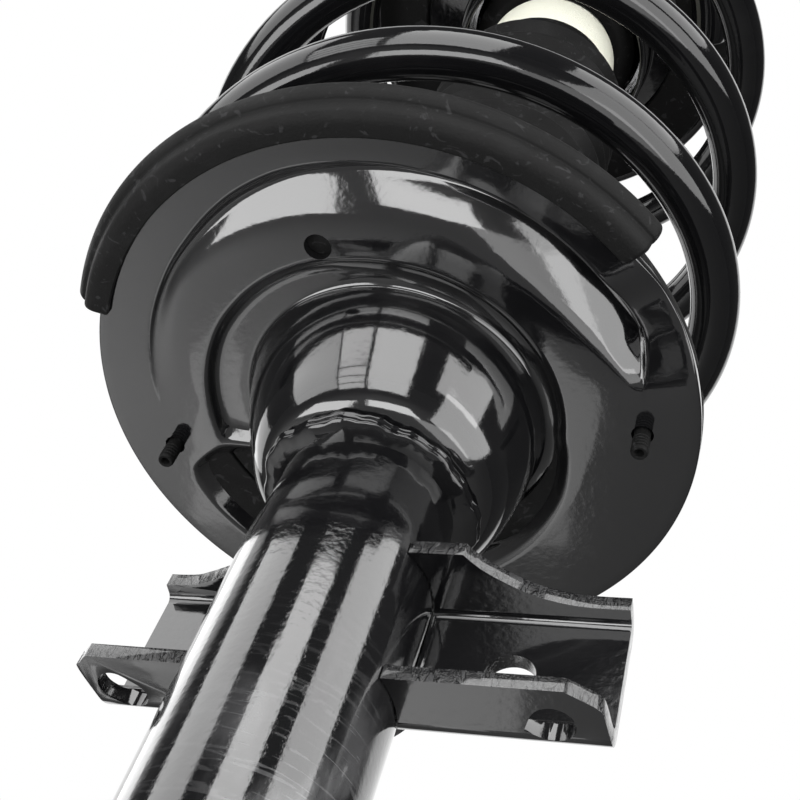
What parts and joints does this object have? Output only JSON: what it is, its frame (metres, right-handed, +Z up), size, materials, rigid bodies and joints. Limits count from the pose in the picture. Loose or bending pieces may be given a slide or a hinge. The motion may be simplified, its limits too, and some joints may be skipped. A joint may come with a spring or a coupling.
{
  "type": "strut assembly",
  "caption": "Complete front suspension strut: damper tube with knuckle bracket, dished spring seat, coil spring, dust boot, bump stop, steering bearing and studded top mount.",
  "frame": {"origin": "centre of the flat foot of the strut tube", "axes": "+Z up along the strut axis towards the top mount, +X along the knuckle bracket towards its longer wing, +Y towards the bracket's web"},
  "size_m": [0.1833, 0.1851, 0.5324],
  "materials": {
    "bare_steel": "bare ground steel",
    "black_paint": "gloss black paint",
    "bronze_lining": "bronze lined sleeve",
    "chromed": "hard chrome",
    "foam": "pale cellular polyurethane",
    "nylon": "pale nylon",
    "rubber": "matte black rubber",
    "sintered": "sintered iron",
    "zinc": "zinc plated steel"
  },
  "bodies": {
    "strut_body": {"strut_tube": "black_paint", "tube_foot": "black_paint", "pressure_cylinder": "bare_steel", "foot_valve": "sintered", "foot_valve_disc": "bare_steel", "rod_guide": "sintered", "guide_bush": "bronze_lining", "rod_seal": "rubber", "gland_ring": "zinc", "bump_cap": "zinc", "knuckle_bracket": "black_paint", "lower_spring_seat": "black_paint", "seat_weld": "black_paint", "lower_insulator": "rubber", "coil_spring": "black_paint", "dust_boot": "rubber"},
    "upper_seat": {"upper_spring_seat": "black_paint", "upper_insulator": "rubber", "lower_race": "bare_steel"},
    "ball_cage": {"bearing_cage": "nylon", "ball_01": "chromed", "ball_02": "chromed", "ball_03": "chromed", "ball_04": "chromed", "ball_05": "chromed", "ball_06": "chromed", "ball_07": "chromed", "ball_08": "chromed", "ball_09": "chromed", "ball_10": "chromed", "ball_11": "chromed", "ball_12": "chromed"},
    "top_mount": {"mount_housing": "black_paint", "mount_rubber": "rubber", "mount_sleeve": "zinc", "stud_1": "zinc", "stud_2": "zinc", "stud_3": "zinc", "stud_nut_1": "zinc", "stud_nut_2": "zinc", "stud_nut_3": "zinc", "rod_washer": "zinc", "rod_nut": "zinc", "piston_rod": "chromed", "piston": "sintered", "piston_band": "nylon", "piston_nut": "zinc", "rebound_stop": "bare_steel", "rebound_buffer": "rubber", "bump_stop": "foam", "upper_race": "bare_steel"}
  },
  "joints": [
    {"name": "strut_travel", "type": "slide", "parent": "strut_body", "child": "upper_seat", "axis": [0, 0, 1], "range_m": [-0.095, 0], "stiffness_N_per_m": 28000, "springref_m": 0.002, "deforming": ["coil_spring", "dust_boot"]},
    {"name": "steering_swivel", "type": "hinge", "parent": "upper_seat", "child": "top_mount", "pos_m": [0, 0, 0.47935], "axis": [0, 0, 1], "range_deg": [-40, 40]},
    {"name": "cage_turn", "type": "hinge", "parent": "upper_seat", "child": "ball_cage", "pos_m": [0, 0, 0.47318], "axis": [0, 0, 1], "range_deg": [-20, 20]}
  ],
  "couplings": [
    {"joint": "cage_turn", "follows": "steering_swivel", "ratio": 0.5}
  ]
}
